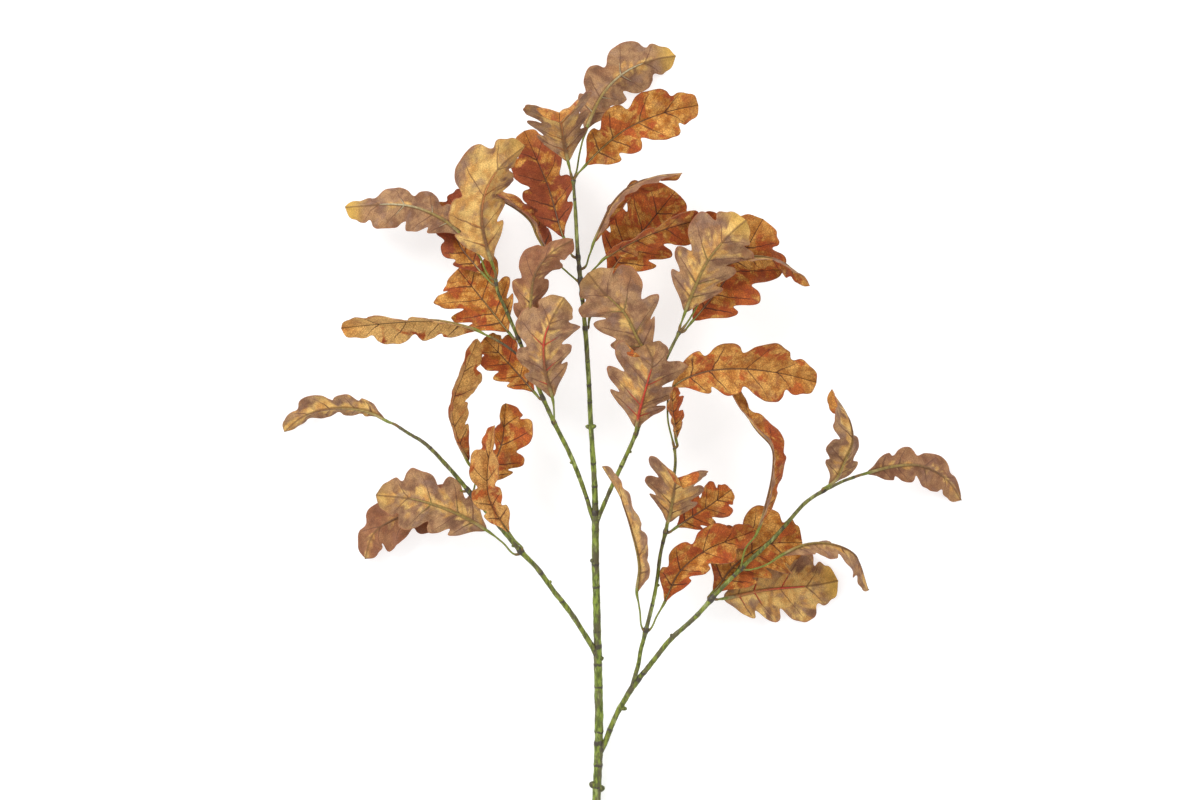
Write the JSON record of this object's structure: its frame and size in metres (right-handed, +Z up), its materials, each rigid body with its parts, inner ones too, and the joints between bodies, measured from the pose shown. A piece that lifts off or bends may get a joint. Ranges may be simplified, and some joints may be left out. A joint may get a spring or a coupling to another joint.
{
  "type": "artificial oak leaf spray",
  "caption": "Artificial autumn oak spray lying down: a moulded green stem with side branches and twigs, carrying lobed printed fabric leaves on short stalks.",
  "frame": {"origin": "centre of the bounding box's base, on the surface that the spray lies on", "axes": "+Y along the main stem from the cut end to the crown, +Z up off the surface, leaves facing up"},
  "size_m": [0.6146, 0.73, 0.1396],
  "materials": {
    "stem_green": "satin",
    "twig_brown": "satin",
    "leaf_fabric": "matte, printed with veins"
  },
  "bodies": {
    "root": {"main_stem": "stem_green", "right_branch": "stem_green", "right_twig": "stem_green", "left_branch": "stem_green", "upper_left_branch": "stem_green", "upper_left_twig": "twig_brown", "upper_right_branch": "stem_green", "crown_leaf_1": "leaf_fabric", "crown_leaf_2": "leaf_fabric", "crown_leaf_3": "leaf_fabric", "crown_leaf_4": "leaf_fabric", "crown_leaf_5": "leaf_fabric", "crown_leaf_6": "leaf_fabric", "crown_leaf_7": "leaf_fabric", "crown_leaf_8": "leaf_fabric", "crown_leaf_9": "leaf_fabric", "upper_right_leaf_1": "leaf_fabric", "upper_right_leaf_2": "leaf_fabric", "upper_right_leaf_3": "leaf_fabric", "upper_right_leaf_4": "leaf_fabric", "upper_right_leaf_5": "leaf_fabric", "upper_left_leaf_1": "leaf_fabric", "upper_left_leaf_2": "leaf_fabric", "upper_left_leaf_3": "leaf_fabric", "upper_left_leaf_4": "leaf_fabric", "upper_left_leaf_5": "leaf_fabric", "upper_left_leaf_6": "leaf_fabric", "upper_left_leaf_7": "leaf_fabric", "upper_left_leaf_8": "leaf_fabric", "left_leaf_1": "leaf_fabric", "left_leaf_2": "leaf_fabric", "left_leaf_3": "leaf_fabric", "left_leaf_4": "leaf_fabric", "left_leaf_5": "leaf_fabric", "left_leaf_6": "leaf_fabric", "right_leaf_1": "leaf_fabric", "right_leaf_2": "leaf_fabric", "right_leaf_3": "leaf_fabric", "right_leaf_4": "leaf_fabric", "right_leaf_5": "leaf_fabric", "right_leaf_6": "leaf_fabric", "right_twig_leaf_1": "leaf_fabric", "right_twig_leaf_2": "leaf_fabric", "right_twig_leaf_3": "leaf_fabric", "right_twig_leaf_4": "leaf_fabric", "right_twig_leaf_5": "leaf_fabric", "right_twig_leaf_6": "leaf_fabric"}
  },
  "joints": []
}
